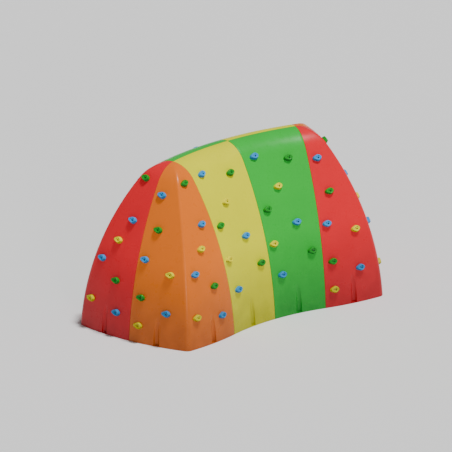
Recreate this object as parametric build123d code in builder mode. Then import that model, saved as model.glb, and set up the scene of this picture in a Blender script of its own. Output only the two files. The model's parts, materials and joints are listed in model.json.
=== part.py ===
from build123d import *
from math import acos, asin, atan2, cos, hypot, radians, sin, sqrt
import os

# Rock climbing wall for a playground: eight moulded plastic shells bolted together into a
# free-standing arched ridge, with climbing holds bolted through the shells.
# Millimetres, +Z up, z = 0 is the ground, x = 0 is the plane that mirrors the wall.
# The wall is curved in plan: its front (-Y) is hollow, its rear (+Y) is round.

os.makedirs("parts", exist_ok=True)

# ---------------------------------------------------------------- driving dimensions
HEIGHT = 2000.0            # ground to the crest of the ridge
BASE_REACH = 900.0         # ridge to the foot of the wall, measured in plan
CREST_RADIUS = 355.0       # rounding over the top of the ridge
SIDE_RADIUS = 3773.0       # long curve of the climbing face, tangent to the crest
RIDGE_RADIUS = 3525.0      # plan radius of the curved ridge
RIDGE_MIDDLE_Y = 100.0     # middle of the ridge, behind the centre of the footprint
PANEL_ANGLE = 15.4         # plan angle of one middle panel
CORNER_AXIS = 2050.0       # plan radius of a corner panel's faces, less the reach of the wall
CORNER_EDGE_FOOT = 83.0    # rounding of the corner panel's upright edge at the ground
CORNER_EDGE_TOP = 30.0     # and where it runs out at the ridge
CORNER_EDGE_SHARE = 0.6    # the rounding never takes more than this share of the reach
WALL = 8.0                 # thickness of the moulded shell
FLANGE_DEPTH = 50.0        # how far the joint flanges stand inwards
FLANGE_THICKNESS = 8.0     # two flanges meet flat at every seam
LIP_WIDTH = 60.0           # inward lip that the shell stands on
LIP_THICKNESS = 8.0
RECESS_RADIUS = 38.0       # half-round anchor recess at the foot
RECESS_TOP = 460.0         # the trough is cut this high, where the wall has already left it
CORNER_RECESS_OFFSET = 380.0   # recess to the seam, along the foot of a corner panel
ANCHOR_HOLE_RADIUS = 7.0
ANCHOR_INSET = 18.0        # anchor hole to the foot of the wall

HOLD_LENGTH = 116.0        # tip to rounded end
HOLD_WIDTH = 96.0          # round body of the hold, along its length
HOLD_HEIGHT = 82.0
HOLD_DEPTH = 38.0          # how far it stands off the wall
HOLD_BACK = 0.5            # its flat back clears the curve of the wall by this much
HOLD_TIP_RADIUS = 13.0
HOLD_SHOULDER = 22.0       # the sides lean in a little up to here, and more above it
HOLD_SHOULDER_INSET = 3.0
HOLD_FRONT_INSET = 10.0
DISH_RADIUS = 60.0         # shallow dish in the front of the hold
DISH_DEPTH = 7.0
HOLD_BOLT_RADIUS = 5.0     # M10
HOLD_HEAD_RADIUS = 8.0
HOLD_HEAD_HEIGHT = 8.0
HOLD_SEAT = 16.0           # bolt head seat above the wall
HOLD_BOLT_END = -24.0      # bolt tip behind the wall's outside
HOLD_BOLT_CHAMFER = 1.0
HOLD_HEAD_FILLET = 0.8
HOLD_SOCKET_RADIUS = 4.64  # hexagon socket in the bolt head, to its corners
HOLD_SOCKET_DEPTH = 4.8
HOLE_CLEARANCE = 0.5       # between a bolt and the side of its hole
HOLD_NUT_GAP = 0.8         # the flat nut flange stands this far off the curved wall
HOLD_NUT_FLANGE_RADIUS = 14.0
HOLD_NUT_FLANGE = 2.5
HOLD_NUT_RADIUS = 8.0
HOLD_NUT_LENGTH = 9.0

SEAM_BOLT_RADIUS = 4.0     # M8
SEAM_BOLT_DEPTH = 30.0     # seam bolts to the outside of the wall
SEAM_HEAD_RADIUS = 7.5
SEAM_HEAD_HEIGHT = 5.3
SEAM_NUT_HEIGHT = 6.5
SEAM_BOLT_END = 3.0        # thread beyond the nut
SEAM_BOLT_CHAMFER = 0.8
WASHER_RADIUS = 8.0
WASHER_THICKNESS = 1.6
SEAM_BOLT_HEIGHTS = (110.0, 500.0, 900.0, 1300.0, 1640.0)
RIDGE_BOLT_SHARES = (0.2, 0.5, 0.8)   # places along a middle panel, as shares of its angle

# Holds on a middle panel: colour, place to the right of the panel's middle, height.
MIDDLE_HOLDS = (
    ("blue", -265.0, 1847.0),
    ("green", 180.0, 1758.0),
    ("yellow", -50.0, 1490.0),
    ("green", -265.0, 1275.0),
    ("blue", 100.0, 1068.0),
    ("yellow", -265.0, 884.0),
    ("green", 245.0, 715.0),
    ("blue", -200.0, 510.0),
)
# Holds on the two faces of a corner panel: colour, distance from the face's seam, height.
# Seen from outside, the first face has its seam on the left and the second on the right.
CORNER_HOLDS_FIRST = (
    ("blue", 121.0, 1707.0),
    ("green", 198.0, 1340.0),
    ("blue", 105.0, 991.0),
    ("yellow", 473.0, 872.0),
    ("green", 130.0, 550.0),
    ("blue", 490.0, 417.0),
    ("yellow", 129.0, 213.0),
)
CORNER_HOLDS_SECOND = (
    ("green", 177.0, 1836.0),
    ("blue", 182.0, 1377.0),
    ("yellow", 323.0, 1125.0),
    ("blue", 521.0, 875.0),
    ("green", 259.0, 672.0),
    ("yellow", 615.0, 376.0),
    ("blue", 202.0, 302.0),
)
HOLD_COLOURS = ("blue", "green", "yellow")

# ---------------------------------------------------------------- the wall's profile
# Every seam has the same profile: an arc over the crest, centred on the ridge line, and a
# long side arc tangent to it that ends at the foot.
CREST_CENTRE = HEIGHT - CREST_RADIUS
CENTRE_GAP = SIDE_RADIUS - CREST_RADIUS
COSINE_PART = 2 * BASE_REACH * CENTRE_GAP
SINE_PART = 2 * CREST_CENTRE * CENTRE_GAP
REST_PART = SIDE_RADIUS**2 - CENTRE_GAP**2 - BASE_REACH**2 - CREST_CENTRE**2
BLEND_ANGLE = acos(REST_PART / hypot(COSINE_PART, SINE_PART)) - atan2(SINE_PART, COSINE_PART)
SIDE_CENTRE_R = -CENTRE_GAP * cos(BLEND_ANGLE)
SIDE_CENTRE_Z = CREST_CENTRE - CENTRE_GAP * sin(BLEND_ANGLE)
CREST_END = radians(87.0)  # where the lofted corner panels stop below the very top


def side_point(angle, inset):
    """Reach and height of a point on the side arc, inset from the outside of the wall."""
    radius = SIDE_RADIUS - inset
    return SIDE_CENTRE_R + radius * cos(angle), SIDE_CENTRE_Z + radius * sin(angle)


def crest_point(angle, inset):
    """Reach and height of a point on the crest arc."""
    radius = CREST_RADIUS - inset
    return radius * cos(angle), CREST_CENTRE + radius * sin(angle)


def foot_angle(inset):
    """Where the side arc meets the ground."""
    return asin(-SIDE_CENTRE_Z / (SIDE_RADIUS - inset))


def profile_at(height, inset=0.0):
    """Reach of the wall at a height, and the slope of its outward normal above level."""
    if height < crest_point(BLEND_ANGLE, inset)[1]:
        slope = asin((height - SIDE_CENTRE_Z) / (SIDE_RADIUS - inset))
        return side_point(slope, inset)[0], slope
    slope = asin((height - CREST_CENTRE) / (CREST_RADIUS - inset))
    return crest_point(slope, inset)[0], slope


def profile_levels(inset, side_steps=8, crest_steps=8):
    """Reach and height up the wall, evenly spaced along each arc."""
    foot = foot_angle(inset)
    levels = []
    for step in range(side_steps):
        levels.append(side_point(foot + (BLEND_ANGLE - foot) * step / side_steps, inset))
    for step in range(crest_steps + 1):
        angle = BLEND_ANGLE + (CREST_END - BLEND_ANGLE) * step / crest_steps
        levels.append(crest_point(angle, inset))
    return levels


def profile_curves(inset, place):
    """Draw the profile from the foot to the crest; place() turns reach into a coordinate."""
    foot = foot_angle(inset)
    side_middle = side_point((foot + BLEND_ANGLE) / 2, inset)
    crest_middle = crest_point((BLEND_ANGLE + radians(90)) / 2, inset)
    points = [side_point(foot, inset), side_middle, side_point(BLEND_ANGLE, inset),
              crest_middle, crest_point(radians(90), inset)]
    placed = [(place(reach), height) for reach, height in points]
    ThreePointArc(placed[0], placed[1], placed[2])
    ThreePointArc(placed[2], placed[3], placed[4])
    return placed[0], placed[4]


def filled_profile(inset, place):
    """Sketch of everything under the profile, down to the ground."""
    with BuildLine() as outline:
        foot, crest = profile_curves(inset, place)
        Polyline(crest, (crest[0], 0), foot)
    make_face(outline.edges())


def profile_band(outer_inset, inner_inset, place):
    """Sketch of the strip between two insets, for the joint flanges."""
    with BuildLine() as outline:
        outer_foot, outer_crest = profile_curves(outer_inset, place)
        inner_foot, inner_crest = profile_curves(inner_inset, place)
        Line(outer_foot, inner_foot)
        Line(outer_crest, inner_crest)
    make_face(outline.edges())


# ---------------------------------------------------------------- places on the wall
ARC_CENTRE = Vector(0, RIDGE_MIDDLE_Y - RIDGE_RADIUS)
LEFT_END = radians(90 + PANEL_ANGLE)    # plan angles of the ridge's ends and middle
MIDDLE = radians(90)
RIGHT_END = radians(90 - PANEL_ANGLE)


def wall_plane(axis, distance, side, start, turn, height, inset=0.0):
    """Plane on a climbing face: Z outwards, X to the right as seen from outside.

    The face is part of a body of revolution about an upright axis. side is 1 where the
    outside of the wall faces away from that axis and -1 where it faces the axis.
    """
    reach, slope = profile_at(height, inset)
    angle = start + side * turn
    along = Vector(cos(angle), sin(angle))
    point = axis + along * (distance + side * reach) + Vector(0, 0, height)
    outward = along * (side * cos(slope)) + Vector(0, 0, sin(slope))
    rightward = Vector(0, 0, 1).cross(along * side)
    return Plane(origin=point, x_dir=rightward, z_dir=outward)


def middle_plane(side, middle, offset, height):
    """A place on a middle panel, offset to the right of its middle."""
    distance = RIDGE_RADIUS + side * profile_at(height)[0]
    return wall_plane(ARC_CENTRE, RIDGE_RADIUS, side, middle, offset / distance, height)


def corner_plane(face, offset, height):
    """A place on a corner panel in its own frame, offset from the face's seam."""
    turn = asin(offset / (CORNER_AXIS + profile_at(height)[0]))
    if face == "first":
        return wall_plane(Vector(-CORNER_AXIS, 0), CORNER_AXIS, 1, 0.0, turn, height)
    return wall_plane(Vector(0, -CORNER_AXIS), CORNER_AXIS, 1, radians(90), -turn, height)


# ---------------------------------------------------------------- shared moulded features
def seam_plane(joint, along):
    """Upright plane of a seam: X is the reach from the ridge, Y is up."""
    return Plane(origin=joint, x_dir=along, z_dir=along.cross(Vector(0, 0, 1)))


def seam_flange(joint, along, towards):
    """Strip that follows the profile inside the wall, on one side of a seam."""
    with BuildPart() as flange:
        with BuildSketch(seam_plane(joint, along)):
            profile_band(WALL / 2, FLANGE_DEPTH, lambda reach: reach)
        extrude(amount=towards * FLANGE_THICKNESS)
    return flange.part


def seam_bolt_planes(joint, along):
    """Places of the bolts in one seam, Z across the seam."""
    across = along.cross(Vector(0, 0, 1))
    planes = []
    for height in SEAM_BOLT_HEIGHTS:
        reach = profile_at(height, SEAM_BOLT_DEPTH)[0]
        point = joint + along * reach + Vector(0, 0, height)
        planes.append(Plane(origin=point, x_dir=along, z_dir=across))
    return planes


def upright_rods(points, radius, bottom, top):
    """Round rods standing at the given points."""
    with BuildPart() as rods:
        with BuildSketch(Plane.XY.offset(bottom)):
            with Locations(*[(point.X, point.Y) for point in points]):
                Circle(radius)
        extrude(amount=top - bottom)
    return rods.part


def finished_shell(outside, cavity, feet, holds, bolt_planes):
    """Hollow a panel and cut its anchor recesses and its bolt holes.

    feet holds, for each recess, a point on the foot of the wall and the direction inwards.
    """
    foot_points = [point for point, inwards in feet]
    anchor_points = [point + inwards * ANCHOR_INSET for point, inwards in feet]
    troughs = upright_rods(foot_points, RECESS_RADIUS + WALL, 0, RECESS_TOP)
    recesses = upright_rods(foot_points, RECESS_RADIUS, LIP_THICKNESS, RECESS_TOP)
    anchors = upright_rods(anchor_points, ANCHOR_HOLE_RADIUS, 0, LIP_THICKNESS)
    with BuildPart() as hollow:
        add(cavity)
        add(troughs, mode=Mode.SUBTRACT)
    with BuildPart() as shell:
        add(outside)
        add(hollow.part, mode=Mode.SUBTRACT)
        add(recesses, mode=Mode.SUBTRACT)
        add(anchors, mode=Mode.SUBTRACT)
        with Locations(*[plane for colour, plane in holds]):
            Cylinder(HOLD_BOLT_RADIUS + HOLE_CLEARANCE, 4 * WALL, mode=Mode.SUBTRACT)
        with Locations(*bolt_planes):
            Cylinder(SEAM_BOLT_RADIUS + HOLE_CLEARANCE, 4 * FLANGE_THICKNESS, mode=Mode.SUBTRACT)
    return shell.part


# ---------------------------------------------------------------- middle panels
def direction(angle):
    return Vector(cos(angle), sin(angle))


def ridge_point(angle):
    """A point below the ridge, on the ground."""
    return ARC_CENTRE + direction(angle) * RIDGE_RADIUS


def middle_solid(side, first_angle, inset=0.0):
    """Everything under a middle panel; with an inset, the space inside its shell."""
    lip_middle = RIDGE_RADIUS + side * (BASE_REACH - LIP_WIDTH / 2)
    ridge_middle = RIDGE_RADIUS + side * FLANGE_THICKNESS / 2
    axis = Axis((ARC_CENTRE.X, ARC_CENTRE.Y, 0), (0, 0, 1))
    with BuildPart() as solid:
        with BuildSketch(seam_plane(ARC_CENTRE, direction(first_angle))):
            filled_profile(inset, lambda reach: RIDGE_RADIUS + side * reach)
            if inset > 0:
                with Locations((lip_middle, LIP_THICKNESS / 2)):
                    Rectangle(LIP_WIDTH, LIP_THICKNESS, mode=Mode.SUBTRACT)
                with Locations((ridge_middle, HEIGHT - FLANGE_DEPTH / 2)):
                    Rectangle(FLANGE_THICKNESS, FLANGE_DEPTH, mode=Mode.SUBTRACT)
        revolve(axis=axis, revolution_arc=PANEL_ANGLE)
    return solid.part


def ridge_bolt_planes(first_angle):
    """Places of the bolts along the ridge of one middle panel, Z across the ridge."""
    planes = []
    for share in RIDGE_BOLT_SHARES:
        angle = first_angle + radians(PANEL_ANGLE) * share
        point = ridge_point(angle) + Vector(0, 0, HEIGHT - SEAM_BOLT_DEPTH)
        planes.append(Plane(origin=point, x_dir=(0, 0, 1), z_dir=direction(angle)))
    return planes


def middle_panel(side, first_angle):
    """Shell and hold places of one middle panel; side -1 is the hollow front."""
    last_angle = first_angle + radians(PANEL_ANGLE)
    middle = (first_angle + last_angle) / 2
    first_seam = (ridge_point(first_angle), direction(first_angle) * side)
    last_seam = (ridge_point(last_angle), direction(last_angle) * side)
    outside = middle_solid(side, first_angle)
    inside = middle_solid(side, first_angle, WALL)
    first_flange = seam_flange(*first_seam, -side)
    last_flange = seam_flange(*last_seam, side)
    with BuildPart() as cavity:
        add(inside)
        add([first_flange, last_flange], mode=Mode.SUBTRACT)
    foot = ARC_CENTRE + direction(middle) * (RIDGE_RADIUS + side * BASE_REACH)
    holds = [(colour, middle_plane(side, middle, offset, height))
             for colour, offset, height in MIDDLE_HOLDS]
    bolt_planes = seam_bolt_planes(*first_seam) + seam_bolt_planes(*last_seam)
    bolt_planes += ridge_bolt_planes(first_angle)
    feet = [(foot, direction(middle) * -side)]
    shell = finished_shell(outside, cavity.part, feet, holds, bolt_planes)
    return shell, holds


# ---------------------------------------------------------------- corner panels
# Made once in a frame of their own: the ridge ends at the origin, one seam runs along X and
# the other along Y, and the panel fills the quarter between them.
def corner_outline(reach, edge_radius, start):
    """Level section: two shallow arcs square to their seams, and a rounded corner."""
    radius = CORNER_AXIS + reach
    rounding = min(edge_radius, CORNER_EDGE_SHARE * reach)
    centre = (sqrt(2 * (radius - rounding)**2 - CORNER_AXIS**2) - CORNER_AXIS) / 2
    tangent_angle = atan2(centre, centre + CORNER_AXIS)
    start_angle = asin(start / radius)
    half_angle = (start_angle + tangent_angle) / 2
    first = [(radius * cos(angle) - CORNER_AXIS, radius * sin(angle))
             for angle in (start_angle, half_angle, tangent_angle)]
    second = [(y, x) for x, y in reversed(first)]
    apex = centre + rounding / sqrt(2)
    with BuildLine() as outline:
        ThreePointArc(*first)
        ThreePointArc(first[-1], (apex, apex), second[0])
        ThreePointArc(*second)
        Polyline(second[-1], (start, start), first[0])
    make_face(outline.edges())


def corner_solid(inset=0.0):
    """Everything under a corner panel; with an inset, the space inside its shell."""
    start = -WALL if inset > 0 else 0.0
    with BuildPart() as solid:
        for reach, height in profile_levels(inset):
            share = height / HEIGHT
            edge_radius = CORNER_EDGE_FOOT + (CORNER_EDGE_TOP - CORNER_EDGE_FOOT) * share
            with BuildSketch(Plane.XY.offset(height)):
                corner_outline(reach, edge_radius - inset, start)
        loft()
    return solid.part


def corner_lip():
    """Inward lip that the corner panel stands on."""
    with BuildPart() as lip:
        with BuildSketch():
            corner_outline(BASE_REACH, CORNER_EDGE_FOOT, 0.0)
        extrude(amount=LIP_THICKNESS)
        with BuildSketch():
            corner_outline(BASE_REACH - LIP_WIDTH, CORNER_EDGE_FOOT, -WALL)
        extrude(amount=LIP_THICKNESS, mode=Mode.SUBTRACT)
    return lip.part


def corner_panel():
    """Shell and hold places of a corner panel, in its own frame."""
    first_seam = (Vector(0, 0), Vector(1, 0))
    second_seam = (Vector(0, 0), Vector(0, 1))
    outside = corner_solid()
    inside = corner_solid(WALL)
    lip = corner_lip()
    first_flange = seam_flange(*first_seam, -1)
    second_flange = seam_flange(*second_seam, 1)
    with BuildPart() as cavity:
        add(inside)
        add([lip, first_flange, second_flange], mode=Mode.SUBTRACT)
    recess_angle = asin(CORNER_RECESS_OFFSET / (CORNER_AXIS + BASE_REACH))
    inwards = direction(recess_angle) * -1
    foot = Vector(-CORNER_AXIS, 0) - inwards * (CORNER_AXIS + BASE_REACH)
    feet = [(foot, inwards), (Vector(foot.Y, foot.X), Vector(inwards.Y, inwards.X))]
    holds = [(colour, corner_plane("first", offset, height))
             for colour, offset, height in CORNER_HOLDS_FIRST]
    holds += [(colour, corner_plane("second", offset, height))
              for colour, offset, height in CORNER_HOLDS_SECOND]
    bolt_planes = seam_bolt_planes(*first_seam) + seam_bolt_planes(*second_seam)
    shell = finished_shell(outside, cavity.part, feet, holds, bolt_planes)
    return shell, holds


# ---------------------------------------------------------------- holds and fasteners
# Each is made once, standing on the wall's surface at the origin with Z outwards.
HOLD_LEVELS = (
    (HOLD_BACK, 0.0),
    (HOLD_SHOULDER, HOLD_SHOULDER_INSET),
    (HOLD_DEPTH, HOLD_FRONT_INSET),
)
HOLD_BODY_SHIFT = (HOLD_WIDTH - HOLD_HEIGHT) / 2
HOLD_TIP_PLACE = HOLD_WIDTH / 2 - HOLD_LENGTH + HOLD_TIP_RADIUS
HEAD_SEAT = FLANGE_THICKNESS + WASHER_THICKNESS   # seam bolt heads and nuts, from the seam

with BuildPart() as hold:
    for level, inset in HOLD_LEVELS:
        with BuildSketch(Plane.XY.offset(level)):
            with Locations((-HOLD_BODY_SHIFT, 0), (HOLD_BODY_SHIFT, 0)):
                Circle(HOLD_HEIGHT / 2 - inset)
            with Locations((HOLD_TIP_PLACE, 0)):
                Circle(HOLD_TIP_RADIUS - inset)
            make_hull()
    loft(ruled=True)
    with Locations((0, 0, HOLD_DEPTH - DISH_DEPTH + DISH_RADIUS)):
        Sphere(DISH_RADIUS, mode=Mode.SUBTRACT)
    with BuildSketch(Plane.XY.offset(HOLD_SEAT)):
        Circle(HOLD_HEAD_RADIUS + HOLE_CLEARANCE)
    extrude(amount=HOLD_DEPTH, mode=Mode.SUBTRACT)
    with BuildSketch():
        Circle(HOLD_BOLT_RADIUS + HOLE_CLEARANCE)
    extrude(amount=HOLD_DEPTH, mode=Mode.SUBTRACT)

with BuildPart() as hold_bolt:
    with BuildSketch(Plane.XY.offset(HOLD_BOLT_END)):
        Circle(HOLD_BOLT_RADIUS)
    extrude(amount=HOLD_SEAT - HOLD_BOLT_END)
    chamfer(hold_bolt.edges().sort_by(Axis.Z)[0], HOLD_BOLT_CHAMFER)
    with BuildSketch(Plane.XY.offset(HOLD_SEAT)):
        Circle(HOLD_HEAD_RADIUS)
    extrude(amount=HOLD_HEAD_HEIGHT)
    fillet(hold_bolt.edges().sort_by(Axis.Z)[-1], HOLD_HEAD_FILLET)
    with BuildSketch(Plane.XY.offset(HOLD_SEAT + HOLD_HEAD_HEIGHT)):
        RegularPolygon(HOLD_SOCKET_RADIUS, 6)
    extrude(amount=-HOLD_SOCKET_DEPTH, mode=Mode.SUBTRACT)

with BuildPart() as hold_nut:
    with BuildSketch(Plane.XY.offset(-WALL - HOLD_NUT_GAP)):
        Circle(HOLD_NUT_FLANGE_RADIUS)
    extrude(amount=-HOLD_NUT_FLANGE)
    with BuildSketch(Plane.XY.offset(-WALL - HOLD_NUT_GAP)):
        Circle(HOLD_NUT_RADIUS)
    extrude(amount=-HOLD_NUT_FLANGE - HOLD_NUT_LENGTH)
    with BuildSketch(Plane.XY.offset(-WALL)):
        Circle(HOLD_BOLT_RADIUS)
    extrude(amount=-2 * WALL, mode=Mode.SUBTRACT)

with BuildPart() as seam_bolt:
    with BuildSketch(Plane.XY.offset(HEAD_SEAT)):
        RegularPolygon(SEAM_HEAD_RADIUS, 6)
    extrude(amount=SEAM_HEAD_HEIGHT)
    with BuildSketch(Plane.XY.offset(HEAD_SEAT)):
        Circle(SEAM_BOLT_RADIUS)
    extrude(amount=-2 * HEAD_SEAT - SEAM_NUT_HEIGHT - SEAM_BOLT_END)
    chamfer(seam_bolt.edges().sort_by(Axis.Z)[0], SEAM_BOLT_CHAMFER)

with BuildPart() as seam_nut:
    with BuildSketch(Plane.XY.offset(-HEAD_SEAT)):
        RegularPolygon(SEAM_HEAD_RADIUS, 6)
        Circle(SEAM_BOLT_RADIUS, mode=Mode.SUBTRACT)
    extrude(amount=-SEAM_NUT_HEIGHT)

with BuildPart() as seam_washers:
    with BuildSketch(Plane.XY.offset(FLANGE_THICKNESS), Plane.XY.offset(-HEAD_SEAT)):
        Circle(WASHER_RADIUS)
        Circle(SEAM_BOLT_RADIUS + HOLE_CLEARANCE, mode=Mode.SUBTRACT)
    extrude(amount=WASHER_THICKNESS)


# ---------------------------------------------------------------- assembly
def save(builder, label):
    builder.part.label = label
    export_step(builder.part, "parts/" + label + ".step")


def save_copies(piece, places, label):
    """One node of identical separate pieces."""
    with BuildPart() as group:
        with Locations(*places):
            add(piece)
    save(group, label)


def save_panel(name, shell, holds, place):
    """Write one panel with its holds, hold bolts and hold nuts, moved to its place."""
    with BuildPart() as panel:
        with Locations(place):
            add(shell)
    save(panel, name + "_panel")
    placed = [(colour, place * plane.location) for colour, plane in holds]
    for hold_colour in HOLD_COLOURS:
        group_places = [location for colour, location in placed if colour == hold_colour]
        save_copies(hold.part, group_places, name + "_" + hold_colour + "_holds")
    every_place = [location for colour, location in placed]
    save_copies(hold_bolt.part, every_place, name + "_hold_bolts")
    save_copies(hold_nut.part, every_place, name + "_hold_nuts")


MIDDLE_PANELS = (
    ("front_left", -1, MIDDLE),
    ("front_right", -1, RIGHT_END),
    ("rear_left", 1, MIDDLE),
    ("rear_right", 1, RIGHT_END),
)
for name, side, first_angle in MIDDLE_PANELS:
    shell, holds = middle_panel(side, first_angle)
    save_panel(name, shell, holds, Location((0, 0, 0)))

# Corner panels: the ridge end that each stands at, and the turn of its own frame.
CORNER_PANELS = (
    ("front_left_corner", LEFT_END, 180 + PANEL_ANGLE),
    ("rear_left_corner", LEFT_END, 90 + PANEL_ANGLE),
    ("front_right_corner", RIGHT_END, 270 - PANEL_ANGLE),
    ("rear_right_corner", RIGHT_END, -PANEL_ANGLE),
)
corner_shell, corner_holds = corner_panel()
for name, end_angle, turn in CORNER_PANELS:
    end = ridge_point(end_angle)
    place = Location((end.X, end.Y, 0), (0, 0, turn))
    save_panel(name, corner_shell, corner_holds, place)

seam_places = []
for seam_angle in (LEFT_END, MIDDLE, RIGHT_END):
    for side in (-1, 1):
        seam_places += seam_bolt_planes(ridge_point(seam_angle), direction(seam_angle) * side)
seam_places += seam_bolt_planes(ridge_point(LEFT_END), direction(LEFT_END + radians(90)))
seam_places += seam_bolt_planes(ridge_point(RIGHT_END), direction(RIGHT_END - radians(90)))
seam_places += ridge_bolt_planes(MIDDLE) + ridge_bolt_planes(RIGHT_END)

save_copies(seam_bolt.part, seam_places, "seam_bolts")
save_copies(seam_nut.part, seam_places, "seam_nuts")
save_copies(seam_washers.part, seam_places, "seam_washers")
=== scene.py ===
import json
import math

import bmesh
import bpy
import numpy as np
from mathutils import Matrix, Vector
from mathutils.geometry import tessellate_polygon


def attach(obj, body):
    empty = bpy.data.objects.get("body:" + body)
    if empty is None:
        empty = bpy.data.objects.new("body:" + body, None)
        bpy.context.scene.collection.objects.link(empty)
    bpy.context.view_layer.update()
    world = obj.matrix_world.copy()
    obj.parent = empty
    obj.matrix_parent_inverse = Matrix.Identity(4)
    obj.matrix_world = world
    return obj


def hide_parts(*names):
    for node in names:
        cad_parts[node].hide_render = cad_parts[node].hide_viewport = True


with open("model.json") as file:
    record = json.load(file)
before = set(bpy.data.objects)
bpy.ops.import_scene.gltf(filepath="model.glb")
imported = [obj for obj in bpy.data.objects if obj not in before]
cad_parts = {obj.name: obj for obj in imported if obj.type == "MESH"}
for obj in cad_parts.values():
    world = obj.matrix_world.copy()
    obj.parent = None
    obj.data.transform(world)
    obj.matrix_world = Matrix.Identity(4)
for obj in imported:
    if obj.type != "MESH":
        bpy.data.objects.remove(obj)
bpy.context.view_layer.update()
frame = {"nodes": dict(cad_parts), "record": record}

# Looks of a free-standing playground climbing wall: eight moulded panels and the holds bolted to
# them. Metres, +Z up. The wall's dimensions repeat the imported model's driving dimensions.

QUARTER = math.radians(90)

# ---------------------------------------------------------------- the wall's dimensions
HEIGHT = 2.0
BASE_REACH = 0.9
CREST_RADIUS = 0.355
SIDE_RADIUS = 3.773
RIDGE_RADIUS = 3.525
RIDGE_MIDDLE_Y = 0.1
PANEL_ANGLE = math.radians(15.4)
CORNER_AXIS = 2.05
CORNER_EDGE_FOOT = 0.083
CORNER_EDGE_TOP = 0.030
WALL = 0.008
FLANGE_DEPTH = 0.05
FLANGE_THICKNESS = 0.008
LIP_WIDTH = 0.06
RECESS_RADIUS = 0.038
RECESS_TOP = 0.46
CORNER_RECESS_OFFSET = 0.38
FLOOR_THICKNESS = 0.008
ANCHOR_INSET = 0.018
ANCHOR_HOLE_RADIUS = 0.007
LIP_GAP = 0.012            # the lip stops this far from an anchor, where the recess floor is

# ---------------------------------------------------------------- edges and steps of the meshes
EDGE = 0.0025              # rounding of the moulded edges at seams and foot
EDGE_STEPS = 3
RECESS_SOFTNESS = 0.0008   # rounding of the recess rim
# narrow groove along every joint: distance from the joint and depth below the face
JOINT_EDGE = ((0.0032, 0.0), (0.0024, 0.0003), (0.0019, 0.0012), (0.0017, 0.006), (0.0, 0.006))
RECESS_ZONE = 0.062        # columns are set for the recess this far each side of its middle
RECESS_MARGIN = 0.018      # the softened rim ends this far outside the recess
RECESS_FADE = 0.012        # and fades out over this much
RECESS_HEADROOM = 0.03     # the push ends this far above the recess
RIM_SLOPE = 3              # outside the recess its surface leaves the wall this steeply
RECESS_COLUMN_ANGLES = (0, 15, 30, 42, 52, 61, 69, 76, 82, 87, 90)
RIM_COLUMNS = (0.0006, 0.0015, 0.003, 0.0055, 0.010, 0.016)   # columns outside the rim
FLOOR_ROW = EDGE_STEPS + 1      # the row just below the recess floor
FLOOR_ROW_GAP = 0.0002     # rows this far below and above the recess floor
RECESS_ROW_STARTS = (0.004, 0.012)   # the next rows above the recess floor
RECESS_ROWS = 56           # steps up the recess, the side and the crest
SIDE_ROWS = 58
CREST_ROWS = 26
SIDE_ROW_END = 1e-4        # radians from the last row of the side to the start of the crest
CREST_ROW_START = 0.02     # radians from the start of the crest to its first row
FACE_COLUMNS = 14          # steps between the recess and a seam or the corner edge
CORNER_SEAM_COLUMNS = 13   # steps between a corner panel's seam and its recess
CORNER_EDGE_COLUMNS = 7    # steps round half of the corner edge
CORNER_EVEN_HEIGHT = 0.95  # from here up a corner panel's columns keep their shares of its section
CORNER_NARROW = 0.12       # where half the section is less than this, the joint's groove shrinks
CORNER_EDGE_SHARE = 0.6    # the rounded edge never takes more than this share of the reach
CORNER_TOP_SLOPE = math.radians(89.4)   # a corner panel's last row, just short of its point
FLANGE_TOP_SLOPE = math.radians(89)
FLANGE_ROW_STRIDE = 3      # a seam flange takes every third row
HOLE_COLUMNS = 3           # columns left out each side of an anchor hole, then patched round it
HOLE_SIDES = 32            # straight sides of an anchor hole's circle
MIDDLE_LIP_STATIONS = 12
CORNER_LIP_STATIONS = 16
RIDGE_STATIONS = 24
OVERLAP = 0.001            # lips and flanges reach this far into the shell
LIP_DROP = 0.0005          # the lip's top is this far below the recess floor
LIP_START = 0.002          # a corner panel's lip starts this far from its seam
SEAM_TURN = 0.0005         # radians from a seam to the ends of a middle panel's lip and flange
MERGE_DISTANCE = 2e-5      # points nearer than this become one
SMALLEST_EDGE = 1e-6       # shorter edges are dissolved
PANEL_SHARP_ANGLE = math.radians(38.0)
HOLD_SHARP_ANGLE = math.radians(50.0)

# ---------------------------------------------------------------- profile of every seam
CREST_CENTRE = HEIGHT - CREST_RADIUS
CENTRE_GAP = SIDE_RADIUS - CREST_RADIUS
cos_part = 2 * BASE_REACH * CENTRE_GAP
sin_part = 2 * CREST_CENTRE * CENTRE_GAP
rest_part = SIDE_RADIUS**2 - CENTRE_GAP**2 - BASE_REACH**2 - CREST_CENTRE**2
BLEND_ANGLE = math.acos(rest_part / math.hypot(cos_part, sin_part)) - math.atan2(sin_part, cos_part)
SIDE_CENTRE_R = -CENTRE_GAP * math.cos(BLEND_ANGLE)
SIDE_CENTRE_Z = CREST_CENTRE - CENTRE_GAP * math.sin(BLEND_ANGLE)
BLEND_HEIGHT = CREST_CENTRE + CREST_RADIUS * math.sin(BLEND_ANGLE)


def profile_at(height):
    """Reach of the wall at a height and the rise of its outward normal."""
    if height < BLEND_HEIGHT:
        slope = math.asin((height - SIDE_CENTRE_Z) / SIDE_RADIUS)
        return SIDE_CENTRE_R + SIDE_RADIUS * math.cos(slope), slope
    slope = math.asin(min(1.0, (height - CREST_CENTRE) / CREST_RADIUS))
    return CREST_RADIUS * math.cos(slope), slope


def arc_heights(first, last, count):
    """Heights evenly spaced along the profile, from one slope of its arcs to another."""
    heights = []
    for step in range(count + 1):
        slope = first + (last - first) * step / count
        if slope < BLEND_ANGLE:
            heights.append(SIDE_CENTRE_Z + SIDE_RADIUS * math.sin(slope))
        else:
            heights.append(CREST_CENTRE + CREST_RADIUS * math.sin(slope))
    return heights


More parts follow.
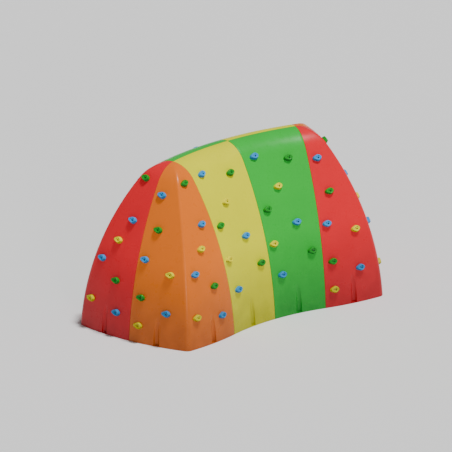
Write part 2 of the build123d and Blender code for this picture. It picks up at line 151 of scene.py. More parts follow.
def profile_rows(last_slope):
    """Rows up a panel as (reach, height, slope), with the rounded foot."""
    rows = []
    for step in range(EDGE_STEPS):
        turn = QUARTER * step / EDGE_STEPS
        height = EDGE * (1 - math.cos(turn))
        reach, slope = profile_at(height)
        rows.append((reach - EDGE * (1 - math.sin(turn)), height, slope))
    floor = FLOOR_THICKNESS
    low = [EDGE, floor - FLOOR_ROW_GAP, floor + FLOOR_ROW_GAP, floor + RECESS_ROW_STARTS[0]]
    low += list(np.linspace(floor + RECESS_ROW_STARTS[1], RECESS_TOP, RECESS_ROWS))
    start = profile_at(RECESS_TOP)[1]
    side = arc_heights(start, BLEND_ANGLE - SIDE_ROW_END, SIDE_ROWS)[1:]
    crest = arc_heights(BLEND_ANGLE + CREST_ROW_START, last_slope, CREST_ROWS)
    for height in low + side + crest:
        reach, slope = profile_at(height)
        rows.append((reach, height, slope))
    return rows


def smooth(value, low, high):
    """Rise from 0 to 1 between two values, with no corner at either end."""
    share = min(1.0, max(0.0, (value - low) / (high - low)))
    return share * share * (3 - 2 * share)


def recess_offsets():
    """Column places across the recess, close together at its rim."""
    inside = [RECESS_RADIUS * math.sin(math.radians(angle)) for angle in RECESS_COLUMN_ANGLES]
    outside = [RECESS_RADIUS + extra for extra in RIM_COLUMNS]
    positive = inside + outside + [RECESS_ZONE]
    return [-place for place in reversed(positive[1:])] + positive


# ---------------------------------------------------------------- sections of the panels
def middle_columns(distance):
    """Signed arc lengths across a middle panel at one row, with the depth of its edges."""
    half = distance * PANEL_ANGLE / 2
    centre = recess_offsets()
    last = half - JOINT_EDGE[0][0]
    outer = [RECESS_ZONE + (last - RECESS_ZONE) * step / FACE_COLUMNS
             for step in range(1, FACE_COLUMNS + 1)]
    columns = [(place, 0.0) for place in centre]
    columns = [(-place, 0.0) for place in reversed(outer)] + columns
    columns += [(place, 0.0) for place in outer]
    for away, depth in JOINT_EDGE[1:]:
        columns = [(away - half, depth)] + columns + [(half - away, depth)]
    return columns


def corner_section(reach, height):
    """Radius, rounding, its centre and tangent angle, and half the length of the section."""
    radius = CORNER_AXIS + reach
    edge = CORNER_EDGE_FOOT + (CORNER_EDGE_TOP - CORNER_EDGE_FOOT) * height / HEIGHT
    edge = min(edge, CORNER_EDGE_SHARE * reach)
    centre = (math.sqrt(2 * (radius - edge)**2 - CORNER_AXIS**2) - CORNER_AXIS) / 2
    tangent = math.atan2(centre, centre + CORNER_AXIS)
    half = radius * tangent + edge * (math.radians(45) - tangent)
    return radius, edge, centre, tangent, half


FOOT_HALF = corner_section(BASE_REACH, 0.0)[4]


def corner_columns(reach, height):
    """Arc lengths from a seam to the middle of the rounded edge, with depths."""
    radius, _, _, tangent, half = corner_section(reach, height)
    blend = smooth(height, RECESS_TOP, CORNER_EVEN_HEIGHT)
    scale = 1 + (half / FOOT_HALF - 1) * blend
    shrink = min(1.0, half / CORNER_NARROW)
    rim = JOINT_EDGE[0][0] * shrink
    knots = [CORNER_RECESS_OFFSET + offset for offset in recess_offsets()]
    columns = []
    for away, depth in reversed(JOINT_EDGE[1:]):
        columns.append((away * shrink, depth * shrink))
    first_knot = knots[0] * scale
    for step in range(CORNER_SEAM_COLUMNS):
        columns.append((rim + (first_knot - rim) * step / CORNER_SEAM_COLUMNS, 0.0))
    columns += [(knot * scale, 0.0) for knot in knots]
    last_knot = knots[-1] * scale
    turn_start = max(radius * tangent, last_knot)
    for step in range(1, FACE_COLUMNS + 1):
        columns.append((last_knot + (turn_start - last_knot) * step / FACE_COLUMNS, 0.0))
    for step in range(1, CORNER_EDGE_COLUMNS + 1):
        columns.append((turn_start + (half - turn_start) * step / CORNER_EDGE_COLUMNS, 0.0))
    return columns


def corner_place(length, reach, height):
    """Point and normal in plan at an arc length from the first seam of a corner panel."""
    radius, edge, centre, tangent, _ = corner_section(reach, height)
    tangent_length = radius * tangent
    if length <= tangent_length:
        angle = length / radius
        return (radius * math.cos(angle) - CORNER_AXIS, radius * math.sin(angle),
                math.cos(angle), math.sin(angle))
    angle = tangent + (length - tangent_length) / edge
    return (centre + edge * math.cos(angle), centre + edge * math.sin(angle),
            math.cos(angle), math.sin(angle))


def sunk(points, foot, inwards, radius, floor):
    """Push points that lie in front of an upright half-round trough back to its wall."""
    lateral = np.array([-inwards[1], inwards[0]])
    out = points.copy()
    relative = points[..., :2] - foot
    across = np.abs(relative @ lateral)
    depth = relative @ inwards
    above = points[..., 2] > floor
    below = points[..., 2] < RECESS_TOP + RECESS_HEADROOM
    near = (across < radius + RECESS_MARGIN) & above & below
    inside = np.sqrt(np.maximum(radius**2 - across**2, 0.0))
    wanted = np.where(across < radius, inside, (radius - across) * RIM_SLOPE)
    gap = depth - wanted
    moved = 0.5 * (depth + wanted + np.sqrt(gap**2 + RECESS_SOFTNESS**2))
    fade = np.clip((radius + RECESS_MARGIN - across) / RECESS_FADE, 0.0, 1.0)
    push = np.where(near, (moved - depth) * fade, 0.0)
    out[..., 0] += push * inwards[0]
    out[..., 1] += push * inwards[1]
    return out


# ---------------------------------------------------------------- turning grids into meshes
def anchor_hole(points, span, columns, second, centre):
    """Points with the circles of an upright anchor hole added, and the faces round and in it.

    span holds the columns that the patches round the hole cover, columns is the length of a row,
    and second is the place of the inner grid's first point.
    """
    circles = []
    for height in (FLOOR_THICKNESS, 0.0):
        ring = [(centre[0] + ANCHOR_HOLE_RADIUS * math.cos(turn),
                 centre[1] + ANCHOR_HOLE_RADIUS * math.sin(turn), height)
                for turn in np.linspace(0, 2 * math.pi, HOLE_SIDES + 1)[:-1]]
        circles.append(list(range(len(points), len(points) + HOLE_SIDES)))
        points = np.concatenate([points, ring])
    ledge = FLOOR_ROW * columns
    over = [ledge + column for column in span]
    over += [ledge + columns + column for column in reversed(span)]
    underside_shade = span + [second + column for column in reversed(span)]
    faces = []
    for loop, circle in zip((over, underside_shade), circles):
        flat = [[Vector((points[i][0], points[i][1], 0.0)) for i in part]
                for part in (loop, circle)]
        order = loop + circle
        faces += [tuple(order[i] for i in face) for face in tessellate_polygon(flat)]
    top, bottom = circles
    for step in range(HOLE_SIDES):
        after = (step + 1) % HOLE_SIDES
        faces.append((top[step], top[after], bottom[after], bottom[step]))
    return points, faces


class MeshParts:
    """Collects vertices and faces of one object."""

    def __init__(self):
        self.points = []
        self.faces = []

    def add(self, points, faces):
        """Take in points, and faces that count from the first of them."""
        start = len(self.points)
        self.points += [tuple(point) for point in points]
        self.faces += [tuple(start + index for index in face) for face in faces]

    def shell(self, outer, inner, holes):
        """Closed shell between two grids of rows by columns, with upright anchor holes.

        holes holds the middle column and the centre in plan of each anchor hole.
        """
        rows, columns = outer.shape[:2]
        points = np.concatenate([outer.reshape(-1, 3), inner.reshape(-1, 3)])
        second = rows * columns
        faces = []
        left_out = set()
        for middle, centre in holes:
            span = list(range(middle - HOLE_COLUMNS, middle + HOLE_COLUMNS + 1))
            left_out.update(span[:-1])
            points, patches = anchor_hole(points, span, columns, second, centre)
            faces += patches
        for row in range(rows - 1):
            for column in range(columns - 1):
                a = row * columns + column
                b, c, d = a + 1, a + columns + 1, a + columns
                if row != FLOOR_ROW or column not in left_out:
                    faces.append((a, b, c, d))
                faces.append((second + d, second + c, second + b, second + a))
        ring = list(range(columns))
        ring += [row * columns + columns - 1 for row in range(1, rows)]
        ring += [(rows - 1) * columns + column for column in range(columns - 2, -1, -1)]
        ring += [row * columns for row in range(rows - 2, 0, -1)]
        for here, there in zip(ring, ring[1:] + ring[:1]):
            if here in left_out and there < columns:
                continue
            faces.append((there, here, second + here, second + there))
        self.add(points, faces)

    def strip(self, corners):
        """Closed bar from a list of stations, each with four corner points."""
        points = [point for station in corners for point in station]
        faces = [(3, 2, 1, 0)]
        for station in range(len(corners) - 1):
            a = station * 4
            for side in range(4):
                b = (side + 1) % 4
                faces.append((a + side, a + b, a + 4 + b, a + 4 + side))
        end = (len(corners) - 1) * 4
        faces.append((end, end + 1, end + 2, end + 3))
        self.add(points, faces)

    def build(self, name, sharp_angle):
        """The collected mesh as an object, smooth except at edges sharper than an angle."""
        mesh = bpy.data.meshes.new(name)
        mesh.from_pydata(self.points, [], self.faces)
        work = bmesh.new()
        work.from_mesh(mesh)
        bmesh.ops.remove_doubles(work, verts=work.verts, dist=MERGE_DISTANCE)
        bmesh.ops.dissolve_degenerate(work, edges=work.edges, dist=SMALLEST_EDGE)
        bmesh.ops.recalc_face_normals(work, faces=work.faces)
        work.to_mesh(mesh)
        work.free()
        for polygon in mesh.polygons:
            polygon.use_smooth = True
        mesh.set_sharp_from_angle(angle=sharp_angle)
        piece = bpy.data.objects.new(name, mesh)
        bpy.context.scene.collection.objects.link(piece)
        return piece


# ---------------------------------------------------------------- panels
ARC_CENTRE = np.array([0.0, RIDGE_MIDDLE_Y - RIDGE_RADIUS])


def direction(angle):
    """Unit vector in plan at an angle from +X."""
    return np.array([math.cos(angle), math.sin(angle)])


def seam_flange(parts, joint, along, across):
    """Inner flange that follows the profile beside a seam."""
    stations = []
    for reach, height, slope in profile_rows(FLANGE_TOP_SLOPE)[2::FLANGE_ROW_STRIDE]:
        outward = np.array([*(along * math.cos(slope)), math.sin(slope)])
        surface = np.array([*(joint + along * reach), height])
        near = surface - outward * (WALL - OVERLAP)
        far = surface - outward * FLANGE_DEPTH
        near[2] = max(near[2], 0.0)
        far[2] = max(far[2], 0.0)
        step = np.array([*(across * FLANGE_THICKNESS), 0.0])
        stations.append((near, far, far + step, near + step))
    parts.strip(stations)


def foot_lip(parts, foot_points, inwards):
    """Flat lip inside the foot of a panel."""
    stations = []
    for point, inward in zip(foot_points, inwards):
        near = np.array([*(point + inward * (WALL - OVERLAP)), 0.0])
        far = np.array([*(point + inward * LIP_WIDTH), 0.0])
        up = np.array([0.0, 0.0, FLOOR_THICKNESS - LIP_DROP])
        stations.append((near, far, far + up, near + up))
    parts.strip(stations)


def middle_grids(side, middle):
    """Outer and inner grids of a middle panel whose middle is at a plan angle."""
    outer, inner = [], []
    rows = profile_rows(QUARTER - JOINT_EDGE[0][0] / CREST_RADIUS)
    ridge_rows = [(reach, height, slope, 0.0) for reach, height, slope in rows]
    ridge_rows += [(away, HEIGHT, QUARTER, depth) for away, depth in JOINT_EDGE[1:]]
    for reach, height, slope, sink in ridge_rows:
        distance = RIDGE_RADIUS + side * reach
        outer_row, inner_row = [], []
        for place, depth in middle_columns(distance):
            along = direction(middle + side * place / distance)
            normal = np.array([*(along * side * math.cos(slope)), math.sin(slope)])
            surface = np.array([*(ARC_CENTRE + along * distance), height])
            outer_row.append(surface - normal * max(depth, sink))
            inner_point = surface - normal * WALL
            inner_point[2] = max(inner_point[2], 0.0)
            inner_row.append(inner_point)
        outer.append(outer_row)
        inner.append(inner_row)
    outer, inner = np.array(outer), np.array(inner)
    outer[..., 2] = np.maximum(outer[..., 2], 0.0)
    return outer, inner


def middle_panel(name, side, first_angle):
    """One middle panel; side is -1 for the hollow front and 1 for the round rear."""
    middle = first_angle + PANEL_ANGLE / 2
    last_angle = first_angle + PANEL_ANGLE
    foot_distance = RIDGE_RADIUS + side * BASE_REACH
    outer, inner = middle_grids(side, middle)
    inwards = direction(middle) * -side
    foot = ARC_CENTRE + direction(middle) * foot_distance
    outer = sunk(outer, foot, inwards, RECESS_RADIUS, FLOOR_THICKNESS)
    inner = sunk(inner, foot, inwards, RECESS_RADIUS + WALL, -1.0)
    parts = MeshParts()
    parts.shell(outer, inner, [(outer.shape[1] // 2, foot + inwards * ANCHOR_INSET)])
    for angle, towards in ((first_angle, 1), (last_angle, -1)):
        joint = ARC_CENTRE + direction(angle) * RIDGE_RADIUS
        across = np.array([-math.sin(angle), math.cos(angle)]) * towards
        seam_flange(parts, joint, direction(angle) * side, across)
    clear = LIP_GAP / foot_distance
    first, last = first_angle + SEAM_TURN, last_angle - SEAM_TURN
    for start, end in ((first, middle - clear), (middle + clear, last)):
        angles = np.linspace(start, end, MIDDLE_LIP_STATIONS)
        foot_points = [ARC_CENTRE + direction(angle) * foot_distance for angle in angles]
        foot_lip(parts, foot_points, [direction(angle) * -side for angle in angles])
    ridge = []
    for angle in np.linspace(first, last, RIDGE_STATIONS):
        near = ARC_CENTRE + direction(angle) * RIDGE_RADIUS
        far = near + direction(angle) * side * FLANGE_THICKNESS
        top, bottom = HEIGHT - WALL + OVERLAP, HEIGHT - FLANGE_DEPTH
        ridge.append(((*near, top), (*far, top), (*far, bottom), (*near, bottom)))
    parts.strip(ridge)
    return parts.build(name, PANEL_SHARP_ANGLE)


def corner_grids():
    """Outer and inner grids of a corner panel in its own frame."""
    swap = [1, 0, 2]
    outer, inner = [], []
    for reach, height, slope in profile_rows(CORNER_TOP_SLOPE):
        half_outer, half_inner = [], []
        for length, depth in corner_columns(reach, height):
            x, y, nx, ny = corner_place(length, reach, height)
            normal = np.array([nx * math.cos(slope), ny * math.cos(slope), math.sin(slope)])
            surface = np.array([x, y, height])
            half_outer.append(surface - normal * depth)
            inner_point = surface - normal * WALL
            inner_point[2] = max(inner_point[2], 0.0)
            half_inner.append(inner_point)
        outer.append(half_outer + [point[swap] for point in reversed(half_outer[:-1])])
        inner.append(half_inner + [point[swap] for point in reversed(half_inner[:-1])])
    outer, inner = np.array(outer), np.array(inner)
    outer[..., 2] = np.maximum(outer[..., 2], 0.0)
    recess_angle = CORNER_RECESS_OFFSET / (CORNER_AXIS + BASE_REACH)
    along = direction(recess_angle)
    foot = np.array([-CORNER_AXIS, 0.0]) + along * (CORNER_AXIS + BASE_REACH)
    feet = [(foot, -along), (foot[::-1].copy(), -along[::-1].copy())]
    for place, inwards in feet:
        outer = sunk(outer, place, inwards, RECESS_RADIUS, FLOOR_THICKNESS)
        inner = sunk(inner, place, inwards, RECESS_RADIUS + WALL, -1.0)
    middle = len(JOINT_EDGE) - 1 + CORNER_SEAM_COLUMNS + len(recess_offsets()) // 2
    holes = [(middle, feet[0][0] + feet[0][1] * ANCHOR_INSET),
             (outer.shape[1] - 1 - middle, feet[1][0] + feet[1][1] * ANCHOR_INSET)]
    return outer, inner, holes


def corner_panel(name, grids, place):
    """One corner panel, moved from its own frame to its place."""
    outer, inner, holes = grids
    parts = MeshParts()
    parts.shell(outer, inner, holes)
    origin = np.zeros(2)
    seam_flange(parts, origin, np.array([1.0, 0.0]), np.array([0.0, 1.0]))
    seam_flange(parts, origin, np.array([0.0, 1.0]), np.array([1.0, 0.0]))
    before, after = CORNER_RECESS_OFFSET - LIP_GAP, CORNER_RECESS_OFFSET + LIP_GAP
    for start, end in ((LIP_START, before), (after, FOOT_HALF)):
        lengths = np.linspace(start, end, CORNER_LIP_STATIONS)
        places = np.array([corner_place(length, BASE_REACH, 0.0) for length in lengths])
        points = list(places[:, :2])
        inwards = list(-places[:, 2:])
        mirrored = [point[::-1] for point in reversed(points)]
        mirrored_inwards = [inward[::-1] for inward in reversed(inwards)]
        foot_lip(parts, points, inwards)
        foot_lip(parts, mirrored, mirrored_inwards)
    piece = parts.build(name, PANEL_SHARP_ANGLE)
    piece.data.transform(place)
    return piece


# ---------------------------------------------------------------- climbing holds
HOLD_AROUND = 64
HOLD_RINGS = 32            # rings from the back of a hold to its bolt well
HOLD_HALF_WIDTH = 0.048
HOLD_HALF_HEIGHT = 0.041
HOLD_TAIL = 0.019          # the tail reaches this far past the round body
# share of the outline and height above the wall, from the back to the dish
HOLD_PROFILE = ((1.0, 0.0006), (1.0, 0.007), (0.975, 0.015), (0.92, 0.025), (0.87, 0.032),
                (0.82, 0.0360), (0.76, 0.0376), (0.69, 0.0379), (0.61, 0.0370), (0.52, 0.0356),
                (0.43, 0.0345), (0.33, 0.0338))
RIM_SHIFT = (-0.0015, 0.0045)   # the front of the hold is moved over, so its underside leans in
BOLT_WELL = ((0.0118, 0.0334), (0.0102, 0.0328), (0.0095, 0.0315), (0.0092, 0.0290),
             (0.0092, 0.0165), (0.0086, 0.0158))
DISH_PITS = ((-0.021, 0.008), (0.007, 0.019))
PIT_RADIUS = 0.0045
PIT_DEPTH = 0.009
TAIL_SHARPNESS = 7         # a higher power makes the tail narrower
OUTLINE_WAVE = 0.025       # share by which the outline bulges at the sides, top and bottom
LEAN_HEIGHTS = (0.006, 0.034)   # the front's shift grows between these heights
FRONT_SHRINK = 0.03        # share by which the front is less high than the back
WAVE_START = 0.025         # above this height the rim rises and falls by WAVE_HEIGHT
WAVE_HEIGHT = 0.0012
WAVE_TURN = 0.6
DISH_SHARE = 0.72          # the dip and the pits are inside this share of the outline
DIP_DEPTH = 0.003          # a further dip in the dish, below the bolt
DIP_PLACE = (0.006, -0.012)
DIP_SIZE = (0.020, 0.012)


def hold_outline(angle):
    """Radius of the hold's outline: a rounded body with a tail to the left."""
    body = 1 / math.hypot(math.cos(angle) / HOLD_HALF_WIDTH, math.sin(angle) / HOLD_HALF_HEIGHT)
    tail = HOLD_TAIL * max(0.0, -math.cos(angle))**TAIL_SHARPNESS
    return body * (1 + OUTLINE_WAVE * math.cos(4 * angle)) + tail


def hold_mesh():
    """Mesh of one hold, standing on the wall at the origin with Z outwards."""
    shares, heights = np.array(HOLD_PROFILE).T
    fine = np.linspace(0, len(shares) - 1, HOLD_RINGS)
    index = np.arange(len(shares))
    rings = list(zip(np.interp(fine, index, shares), np.interp(fine, index, heights)))
    points, faces = [], []
    for share, height in rings:
        for step in range(HOLD_AROUND):
            angle = 2 * math.pi * step / HOLD_AROUND
            radius = share * hold_outline(angle)
            lean = smooth(height, *LEAN_HEIGHTS)
            x = radius * math.cos(angle) + RIM_SHIFT[0] * lean
            y = radius * math.sin(angle) * (1 - FRONT_SHRINK * lean) + RIM_SHIFT[1] * lean
            lift = height
            if height > WAVE_START:
                lift += WAVE_HEIGHT * math.sin(3 * angle + WAVE_TURN) * share
            if share < DISH_SHARE:
                dip_x = (x - DIP_PLACE[0]) / DIP_SIZE[0]
                dip_y = (y - DIP_PLACE[1]) / DIP_SIZE[1]
                lift -= DIP_DEPTH * math.exp(-dip_x**2 - dip_y**2)
                for pit_x, pit_y in DISH_PITS:
                    away = math.hypot(x - pit_x, y - pit_y) / PIT_RADIUS
                    lift -= PIT_DEPTH * math.exp(-away**4)
            points.append((x, y, lift))
    for radius, height in BOLT_WELL:
        for step in range(HOLD_AROUND):
            angle = 2 * math.pi * step / HOLD_AROUND
            points.append((radius * math.cos(angle), radius * math.sin(angle), height))
    ring_count = len(rings) + len(BOLT_WELL)
    for ring in range(ring_count - 1):
        for step in range(HOLD_AROUND):
            after = (step + 1) % HOLD_AROUND
            a, b = ring * HOLD_AROUND + step, ring * HOLD_AROUND + after
            faces.append((a, b, b + HOLD_AROUND, a + HOLD_AROUND))
    faces.append(tuple(reversed(range(HOLD_AROUND))))
    last = (ring_count - 1) * HOLD_AROUND
    faces.append(tuple(last + step for step in range(HOLD_AROUND)))
    return np.array(points), faces


def separate_solids(node):
    """Vertex clouds of the separate solids in a CAD node's mesh."""
    mesh = frame["nodes"][node].data
    count = len(mesh.vertices)
    points = np.empty(count * 3)
    mesh.vertices.foreach_get("co", points)
    points = points.reshape(-1, 3)
    keys = {}
    parent = list(range(count))

    def root(item):
        while parent[item] != item:
            parent[item] = parent[parent[item]]
            item = parent[item]
        return item

    for index, point in enumerate(np.round(points, 5)):
        key = tuple(point)
        if key in keys:
            parent[root(index)] = root(keys[key])
        else:
            keys[key] = index
    for edge in mesh.edges:
        parent[root(edge.vertices[0])] = root(edge.vertices[1])
    groups = {}
    for index in range(count):
        groups.setdefault(root(index), []).append(index)
    return [points[indices] for indices in groups.values()]


def bolt_frames(node):
    """For each hold bolt: the point where its axis crosses the wall, and its axis."""
    frames = []
    for cloud in separate_solids(node):
        centre = cloud.mean(axis=0)
        axis = np.linalg.eigh(np.cov((cloud - centre).T))[1][:, -1]
        along = (cloud - centre) @ axis
        frames.append((centre + axis * (along.max() + along.min()) / 2, axis))
    return frames


def hold_group(node, bolt_node, shape):
    """All the holds of one CAD node, each standing where its CAD solid does."""
    bolts = bolt_frames(bolt_node)
    parts = MeshParts()
    points, faces = shape
    for cloud in separate_solids(node):
        centre = (cloud.min(axis=0) + cloud.max(axis=0)) / 2
        origin, axis = min(bolts, key=lambda bolt: np.linalg.norm(bolt[0] - centre))
        if (centre - origin) @ axis < 0:
            axis = -axis
        right = np.cross((0.0, 0.0, 1.0), axis)
        right /= np.linalg.norm(right)
        up = np.cross(axis, right)
        parts.add(origin + points @ np.array([right, up, axis]), faces)
    return parts.build(node + "_moulded", HOLD_SHARP_ANGLE)


# ---------------------------------------------------------------- materials
STEEL_GREY = (0.66, 0.67, 0.68)
NOISE_RANGE = (0.3, 0.7)   # where most values of a noise texture lie
SPECK_SHARE = 0.09         # the most that the lighter specks in the plastic take
SPECK_GAIN = 1.5
SPECK_GREY = 0.04
GROUND_SHADE_TOP = 1.0             # metres above the ground where the painted shade near the ground ends
GROUND_SHADE_SHARE = 0.85
PAINTED_SHADE_GAIN = 0.30           # colour of the painted shade near the ground and on faces that look down, as a share of the plain one
UNDERSIDE_SHADE_SLOPES = (0.22, -0.35)    # upward part of the normal where the painted shade on faces that look down begins and is full
SHEEN_RANGE = (-0.05, 0.07)     # the roughness varies this far round its middle
GROUND_SHADE_PATCHINESS = (0.8, 1.0)   # the share of the painted shade near the ground varies between these
PLASTIC_IOR = 1.5
PLASTIC_SPECULAR = 0.24
PLATING_ROUGHNESS = (0.28, 0.46)

# scale and detail of each noise texture
CLOUDS = (2.2, 4.0)
GROUND_SHADE_PATCHES = (7.0, 4.0)
SHEEN_PATCHES = (14.0, 4.0)
RIPPLES = (5.0, 1.0)
PLATING_CLOUDS = (120.0, 4.0)
PLATING_SHEEN = (400.0, 3.0)
SCRATCHES = (900.0, 2.0)
GRAIN_DETAIL = 3.0
SPECK_DETAIL = 2.0
SPECK_SCALE = 0.6          # scale of the specks, as a share of the grain's

# strength and distance of each bump
GRAIN_BUMP = (0.35, 0.0005)
RIPPLE_BUMP = (0.25, 0.004)
SCRATCH_BUMP = (0.2, 0.0003)


def new_material(name):
    """A new material with its nodes, its links and its shader."""
    material = bpy.data.materials.new(name)
    material.use_nodes = True
    nodes = material.node_tree.nodes
    return material, nodes, material.node_tree.links, nodes["Principled BSDF"]


def noise(nodes, links, coordinates, scale, detail):
    """Values of a noise texture."""
    texture = nodes.new("ShaderNodeTexNoise")
    texture.inputs["Scale"].default_value = scale
    texture.inputs["Detail"].default_value = detail
    texture.inputs["Roughness"].default_value = 0.5
    links.new(coordinates, texture.inputs["Vector"])
    return texture.outputs["Fac"]


def remapped(nodes, links, value, start, end, low, high):
    """Map a value from the range start to end onto the range low to high."""
    remap = nodes.new("ShaderNodeMapRange")
    remap.inputs["From Min"].default_value = start
    remap.inputs["From Max"].default_value = end
    remap.inputs["To Min"].default_value = low
    remap.inputs["To Max"].default_value = high
    links.new(value, remap.inputs["Value"])
    return remap.outputs["Result"]


def spread(nodes, links, value, low, high):
    """Map a noise value, which stays near its middle, onto a range."""
    return remapped(nodes, links, value, *NOISE_RANGE, low, high)


def bump(nodes, links, height, strength, distance):
    """A bump node that takes its height from a socket."""
    node = nodes.new("ShaderNodeBump")
    node.inputs["Strength"].default_value = strength
    node.inputs["Distance"].default_value = distance
    links.new(height, node.inputs["Height"])
    return node


def mixed(nodes, links, share, first, second):
    """Mix two colours, each a colour or a socket, by a share socket."""
    mix = nodes.new("ShaderNodeMix")
    mix.data_type = "RGBA"
    links.new(share, mix.inputs["Factor"])
    for socket, colour in ((mix.inputs["A"], first), (mix.inputs["B"], second)):
        if isinstance(colour, tuple):
            socket.default_value = colour
        else:
            links.new(colour, socket)
    return mix.outputs["Result"]


def tinted(colour, gain, grey=0.0):
    """A colour made lighter or darker, and moved towards grey."""
    mean = sum(colour) / 3
    return tuple(min(1.0, (part + (mean - part) * grey) * gain) for part in colour) + (1.0,)


def moulded_plastic(name, colour, roughness, grain_scale, mottling, shade):
    """Through-coloured plastic: cloudy colour, fine grain, painted shade towards the ground, and
    painted shade on faces that look down.

    shade is how far faces that look down take on the dark colour of the painted shade.
    """
    material, nodes, links, shader = new_material(name)
    coordinates = nodes.new("ShaderNodeTexCoord").outputs["Object"]
    clouds = spread(nodes, links, noise(nodes, links, coordinates, *CLOUDS), 0.0, 1.0)
    base = mixed(nodes, links, clouds, tinted(colour, 1 - mottling), tinted(colour, 1 + mottling))
    speckle = noise(nodes, links, coordinates, grain_scale * SPECK_SCALE, SPECK_DETAIL)
    specks = spread(nodes, links, speckle, 0.0, SPECK_SHARE)
    base = mixed(nodes, links, specks, base, tinted(colour, SPECK_GAIN, SPECK_GREY))
    place = nodes.new("ShaderNodeSeparateXYZ")
    links.new(coordinates, place.inputs["Vector"])
    # painted shade: the colour gets darker towards the ground, in patches
    ground_shade_ramp = remapped(nodes, links, place.outputs["Z"], GROUND_SHADE_TOP, 0.0, 0.0, GROUND_SHADE_SHARE)
    patches = spread(nodes, links, noise(nodes, links, coordinates, *GROUND_SHADE_PATCHES), *GROUND_SHADE_PATCHINESS)
    ground_shade = nodes.new("ShaderNodeMath")
    ground_shade.operation = "MULTIPLY"
    links.new(ground_shade_ramp, ground_shade.inputs[0])
    links.new(patches, ground_shade.inputs[1])
    base = mixed(nodes, links, ground_shade.outputs["Value"], base, tinted(colour, PAINTED_SHADE_GAIN))
    # painted shade: faces that look down are made darker
    facing = nodes.new("ShaderNodeSeparateXYZ")
    links.new(nodes.new("ShaderNodeNewGeometry").outputs["Normal"], facing.inputs["Vector"])
    underside_shade = remapped(nodes, links, facing.outputs["Z"], *UNDERSIDE_SHADE_SLOPES, 0.0, shade)
    base = mixed(nodes, links, underside_shade, base, tinted(colour, PAINTED_SHADE_GAIN))
    links.new(base, shader.inputs["Base Color"])
    sheen = spread(nodes, links, noise(nodes, links, coordinates, *SHEEN_PATCHES),
                   roughness + SHEEN_RANGE[0], roughness + SHEEN_RANGE[1])
    links.new(sheen, shader.inputs["Roughness"])
    fine = noise(nodes, links, coordinates, grain_scale, GRAIN_DETAIL)
    grain = bump(nodes, links, fine, *GRAIN_BUMP)
    ripple = bump(nodes, links, noise(nodes, links, coordinates, *RIPPLES), *RIPPLE_BUMP)
    links.new(ripple.outputs["Normal"], grain.inputs["Normal"])
    links.new(grain.outputs["Normal"], shader.inputs["Normal"])
    shader.inputs["IOR"].default_value = PLASTIC_IOR
    shader.inputs["Specular IOR Level"].default_value = PLASTIC_SPECULAR
    return material


def zinc_steel(name, dark, light):
    """Zinc plated steel with cloudy plating between two greys."""
    material, nodes, links, shader = new_material(name)
    coordinates = nodes.new("ShaderNodeTexCoord").outputs["Object"]
    patches = spread(nodes, links, noise(nodes, links, coordinates, *PLATING_CLOUDS), 0.0, 1.0)
    colour = mixed(nodes, links, patches, tinted(STEEL_GREY, dark), tinted(STEEL_GREY, light))
    links.new(colour, shader.inputs["Base Color"])
    worn = noise(nodes, links, coordinates, *PLATING_SHEEN)
    sheen = spread(nodes, links, worn, *PLATING_ROUGHNESS)
    links.new(sheen, shader.inputs["Roughness"])
    shader.inputs["Metallic"].default_value = 1.0
    scratch = bump(nodes, links, noise(nodes, links, coordinates, *SCRATCHES), *SCRATCH_BUMP)
    links.new(scratch.outputs["Normal"], shader.inputs["Normal"])
    return material


PANEL_COLOURS = {
    "red_panel": (0.88, 0.018, 0.030),
    "orange_panel": (0.95, 0.200, 0.012),
    "yellow_panel": (0.86, 0.84, 0.0),
    "green_panel": (0.018, 0.54, 0.045),
}
HOLD_COLOURS = {
    "blue_hold": (0.030, 0.34, 0.80),
    "green_hold": (0.010, 0.33, 0.020),
    "yellow_hold": (0.95, 0.86, 0.0),
}
# roughness, scale of the grain, mottling and painted shade on faces that look down
PANEL_FINISH = (0.30, 420.0, 0.035, 0.0)
HOLD_FINISH = (0.40, 800.0, 0.06, 0.85)
materials = {}
for slot_name, colour in PANEL_COLOURS.items():
    materials[slot_name] = moulded_plastic(slot_name, colour, *PANEL_FINISH)
for slot_name, colour in HOLD_COLOURS.items():
    materials[slot_name] = moulded_plastic(slot_name, colour, *HOLD_FINISH)
bright_steel = zinc_steel("bright_zinc_steel", 0.7, 1.0)
black_steel = zinc_steel("black_zinc_steel", 0.10, 0.22)

# ---------------------------------------------------------------- making the pieces
slots = {entry["node"]: entry["material_slot"] for entry in frame["record"]["subparts"]}


def finish_piece(piece, node):
    """Material, body and slot of a piece that stands for a CAD node."""
    piece.data.materials.clear()
    piece.data.materials.append(materials[slots[node]])
    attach(piece, "root")
    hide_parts(node)


MIDDLE_PANELS = (
    ("front_left_panel", -1, QUARTER),
    ("front_right_panel", -1, QUARTER - PANEL_ANGLE),
    ("rear_left_panel", 1, QUARTER),
    ("rear_right_panel", 1, QUARTER - PANEL_ANGLE),
)
for node, side, first_angle in MIDDLE_PANELS:
    finish_piece(middle_panel(node + "_moulded", side, first_angle), node)

# ridge end of each corner panel and the turn of its own frame
CORNER_PANELS = (
    ("front_left_corner_panel", QUARTER + PANEL_ANGLE, 2 * QUARTER + PANEL_ANGLE),
    ("rear_left_corner_panel", QUARTER + PANEL_ANGLE, QUARTER + PANEL_ANGLE),
    ("front_right_corner_panel", QUARTER - PANEL_ANGLE, 3 * QUARTER - PANEL_ANGLE),
    ("rear_right_corner_panel", QUARTER - PANEL_ANGLE, -PANEL_ANGLE),
)
corner_shape = corner_grids()
for node, end_angle, turn in CORNER_PANELS:
    end = ARC_CENTRE + direction(end_angle) * RIDGE_RADIUS
    place = Matrix.Translation((end[0], end[1], 0.0)) @ Matrix.Rotation(turn, 4, "Z")
    finish_piece(corner_panel(node + "_moulded", corner_shape, place), node)

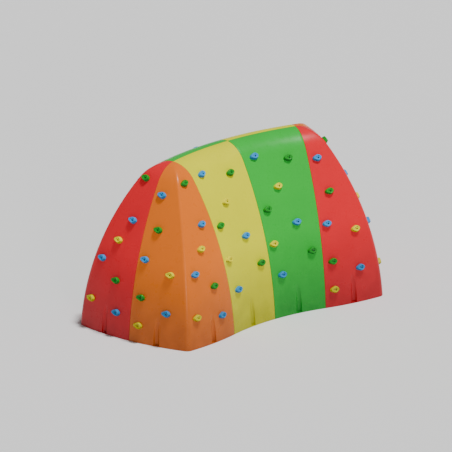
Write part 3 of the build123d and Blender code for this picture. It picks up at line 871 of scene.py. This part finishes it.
hold_shape = hold_mesh()
for node in sorted(slots):
    if node.endswith("_holds"):
        bolt_node = node.rsplit("_", 2)[0] + "_hold_bolts"
        finish_piece(hold_group(node, bolt_node, hold_shape), node)

for node, piece in frame["nodes"].items():
    if slots[node] == "steel":
        piece.data.materials.clear()
        piece.data.materials.append(black_steel if node.endswith("hold_bolts") else bright_steel)

# ---------------------------------------------------------------- floor, camera and light
AZIMUTH = math.radians(-39.07)
ELEVATION = math.radians(20.81)
VIEW_WIDTH = 5.365         # width of the parallel view
VIEW_RIGHT = -0.0245       # middle of the view, from the ground near the ridge's middle
VIEW_UP = 0.861
VIEW_DISTANCE = 14.0
VIEW_MIDDLE_Y = RIDGE_MIDDLE_Y - 0.012
FLOOR_REACH = 60.0
FLOOR_DROP = 0.0005        # the floor lies this far below the wall's foot
FLOOR_COLOUR = (0.98, 0.98, 0.98, 1.0)
FLOOR_ROUGHNESS = 0.9
WORLD_STRENGTH = 0.16

right = Vector((math.cos(AZIMUTH), math.sin(AZIMUTH), 0))
back = Vector((math.sin(AZIMUTH) * math.cos(ELEVATION),
               -math.cos(AZIMUTH) * math.cos(ELEVATION), math.sin(ELEVATION)))
up = back.cross(right)
target = Vector((0, VIEW_MIDDLE_Y, 0)) + right * VIEW_RIGHT + up * VIEW_UP

lens = bpy.data.cameras.new("camera")
lens.type = "ORTHO"
lens.ortho_scale = VIEW_WIDTH
lens.clip_end = 100.0
camera = bpy.data.objects.new("camera", lens)
bpy.context.scene.collection.objects.link(camera)
camera.matrix_world = (Matrix.Translation(target + back * VIEW_DISTANCE)
                       @ Matrix((right, up, back)).transposed().to_4x4())
bpy.context.scene.camera = camera

floor_mesh = bpy.data.meshes.new("floor")
floor_corners = [(x * FLOOR_REACH, y * FLOOR_REACH, 0)
                 for x, y in ((-1, -1), (1, -1), (1, 1), (-1, 1))]
floor_mesh.from_pydata(floor_corners, [], [(0, 1, 2, 3)])
floor = bpy.data.objects.new("floor", floor_mesh)
bpy.context.scene.collection.objects.link(floor)
floor.location.z = -FLOOR_DROP
floor_material, _, _, floor_shader = new_material("pale_floor")
floor_shader.inputs["Base Color"].default_value = FLOOR_COLOUR
floor_shader.inputs["Roughness"].default_value = FLOOR_ROUGHNESS
floor_mesh.materials.append(floor_material)

world = bpy.data.worlds.new("studio")
world.use_nodes = True
background = world.node_tree.nodes["Background"]
background.inputs["Color"].default_value = (1.0, 1.0, 1.0, 1.0)
background.inputs["Strength"].default_value = WORLD_STRENGTH
bpy.context.scene.world = world


def sun_light(name, place, spread_degrees, strength):
    """Even light from far away, in the direction of a place above the wall."""
    light = bpy.data.lights.new(name, "SUN")
    light.angle = math.radians(spread_degrees)
    light.energy = strength
    lamp = bpy.data.objects.new(name, light)
    bpy.context.scene.collection.objects.link(lamp)
    lamp.location = place
    lamp.rotation_euler = (-Vector(place)).to_track_quat("-Z", "Y").to_euler()


# name, place that the light comes from, spread in degrees and strength
SUNS = (
    ("key", (1.3, -1.7, 7.5), 10.0, 3.0),
    ("fill", (-2.4, -7.5, 3.2), 24.0, 0.22),
    ("edge", (-3.6, -7.0, 1.6), 8.0, 0.40),
)
for sun in SUNS:
    sun_light(*sun)
